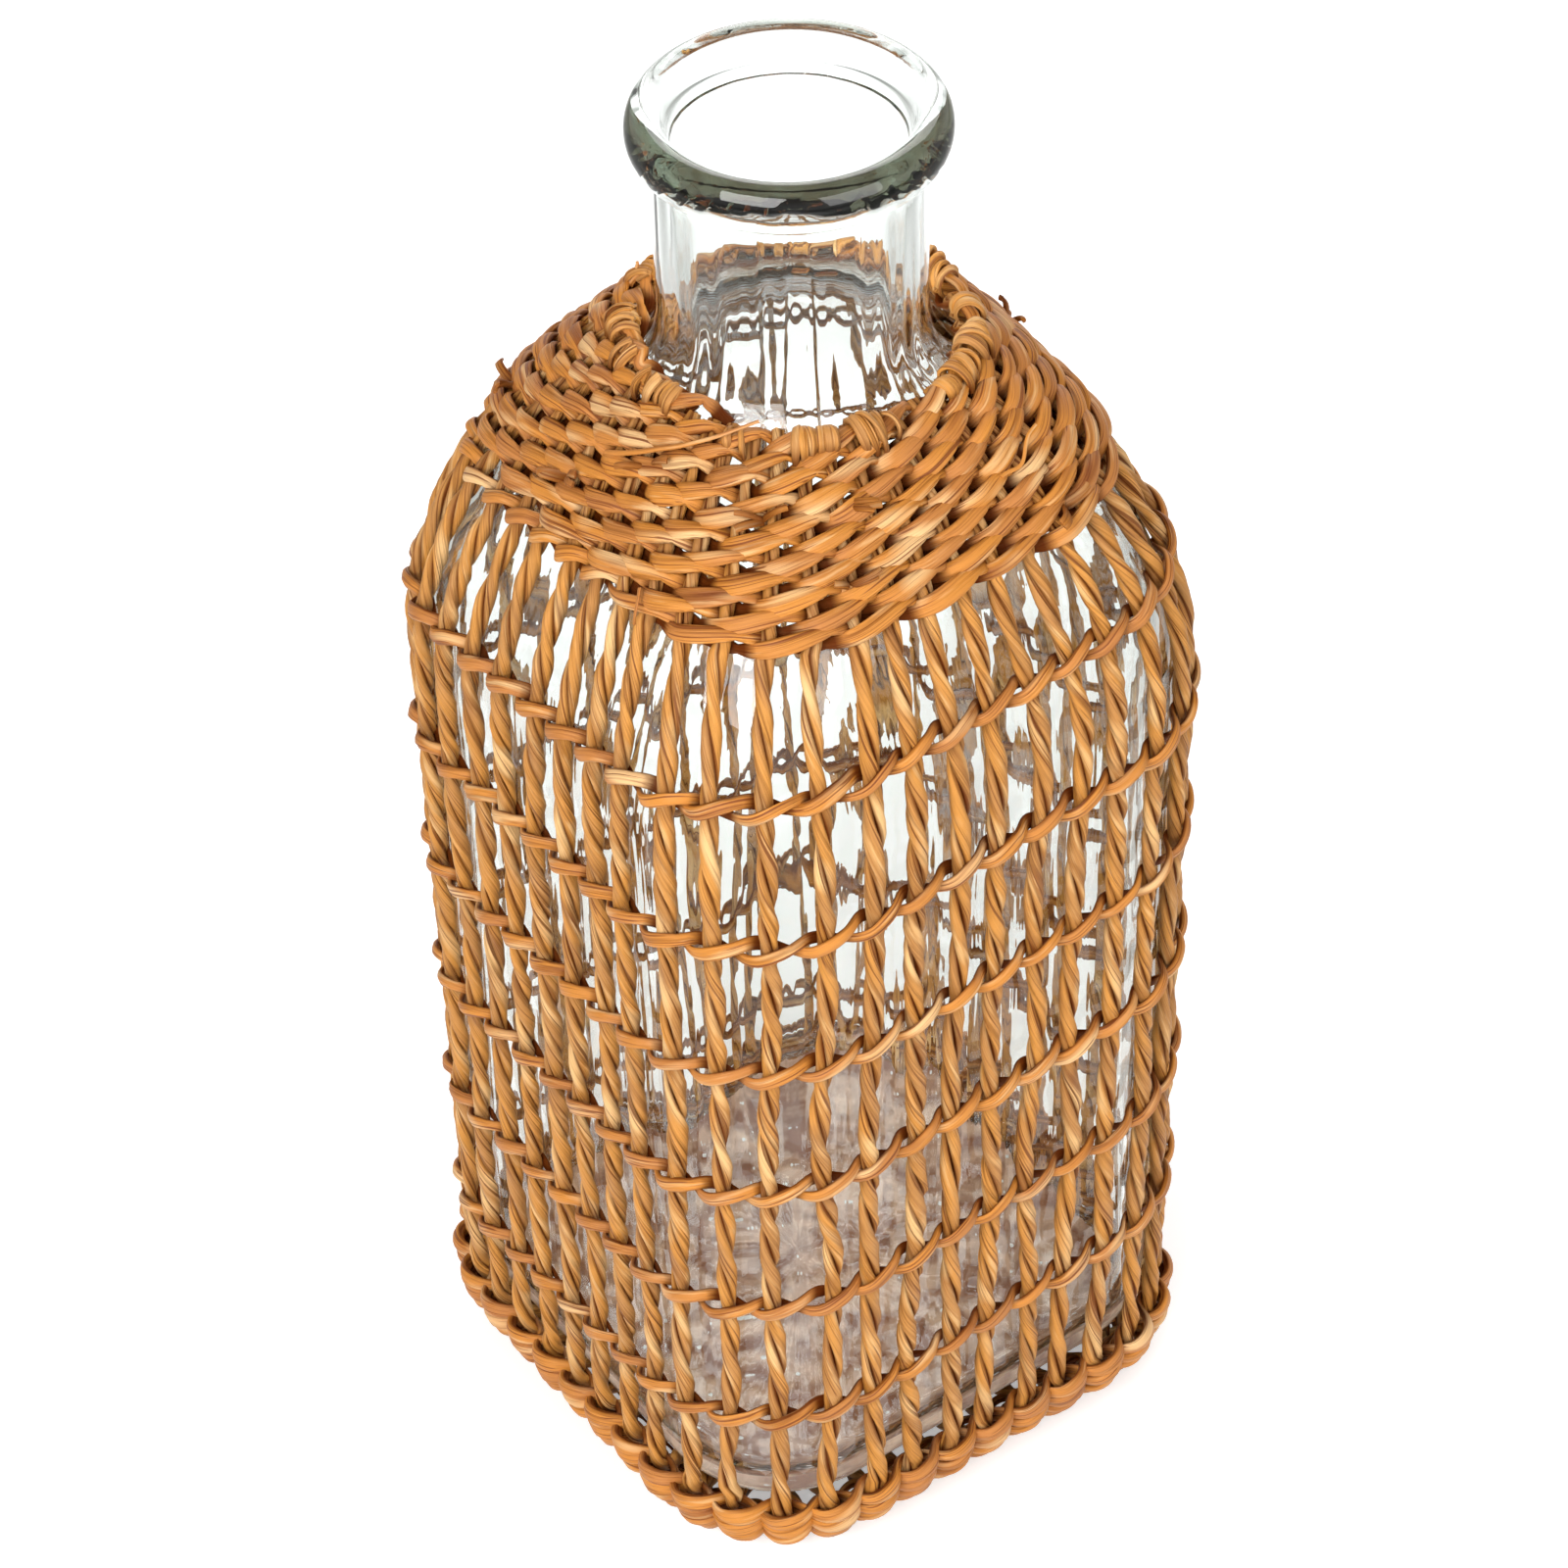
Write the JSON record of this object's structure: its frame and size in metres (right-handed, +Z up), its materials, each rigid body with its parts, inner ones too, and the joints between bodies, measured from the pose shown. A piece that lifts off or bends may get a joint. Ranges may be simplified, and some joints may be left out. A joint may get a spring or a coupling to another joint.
{
  "type": "woven bottle vase",
  "caption": "Square clear glass bottle vase with a round rimmed neck, in a woven jacket of twisted rush cord closed under the base and at the shoulder.",
  "frame": {"origin": "centre of the square base, on the surface the vase stands on", "axes": "+Z up along the neck, +X and +Y square to two neighbouring flat sides; the open weft leaves the border near the corner between +X and +Y and climbs counterclockwise, seen from above"},
  "size_m": [0.1075, 0.1075, 0.25],
  "materials": {
    "clear_glass": "smooth pressed glass, slightly wavy, faint grey-green tint where it is thick",
    "twisted_rush_stake": "two-ply twisted rush cord, tan and brown, dry satin",
    "golden_rush_weft": "flat rush strands, golden brown with pale streaks, dry satin"
  },
  "bodies": {
    "root": {"glass_bottle": "clear_glass", "stake_across_01": "twisted_rush_stake", "stake_across_02": "twisted_rush_stake", "stake_across_03": "twisted_rush_stake", "stake_across_04": "twisted_rush_stake", "stake_across_05": "twisted_rush_stake", "stake_across_06": "twisted_rush_stake", "stake_across_07": "twisted_rush_stake", "stake_across_08": "twisted_rush_stake", "stake_across_09": "twisted_rush_stake", "stake_across_10": "twisted_rush_stake", "stake_across_11": "twisted_rush_stake", "stake_front_to_back_01": "twisted_rush_stake", "stake_front_to_back_02": "twisted_rush_stake", "stake_front_to_back_03": "twisted_rush_stake", "stake_front_to_back_04": "twisted_rush_stake", "stake_front_to_back_05": "twisted_rush_stake", "stake_front_to_back_06": "twisted_rush_stake", "stake_front_to_back_07": "twisted_rush_stake", "stake_front_to_back_08": "twisted_rush_stake", "stake_front_to_back_09": "twisted_rush_stake", "stake_front_to_back_10": "twisted_rush_stake", "stake_front_to_back_11": "twisted_rush_stake", "border_row_1": "golden_rush_weft", "border_row_2": "golden_rush_weft", "border_row_3": "golden_rush_weft", "border_row_4": "golden_rush_weft", "border_row_5": "golden_rush_weft", "wall_weft_turn_1": "golden_rush_weft", "wall_weft_turn_2": "golden_rush_weft", "wall_weft_turn_3": "golden_rush_weft", "wall_weft_turn_4": "golden_rush_weft", "wall_weft_turn_5": "golden_rush_weft", "wall_weft_turn_6": "golden_rush_weft", "wall_weft_turn_7": "golden_rush_weft", "collar_weft_turn_01": "golden_rush_weft", "collar_weft_turn_02": "golden_rush_weft", "collar_weft_turn_03": "golden_rush_weft", "collar_weft_turn_04": "golden_rush_weft", "collar_weft_turn_05": "golden_rush_weft", "collar_weft_turn_06": "golden_rush_weft", "collar_weft_turn_07": "golden_rush_weft", "collar_weft_turn_08": "golden_rush_weft", "collar_weft_turn_09": "golden_rush_weft", "collar_weft_turn_10": "golden_rush_weft", "collar_weft_turn_11": "golden_rush_weft"}
  },
  "joints": []
}
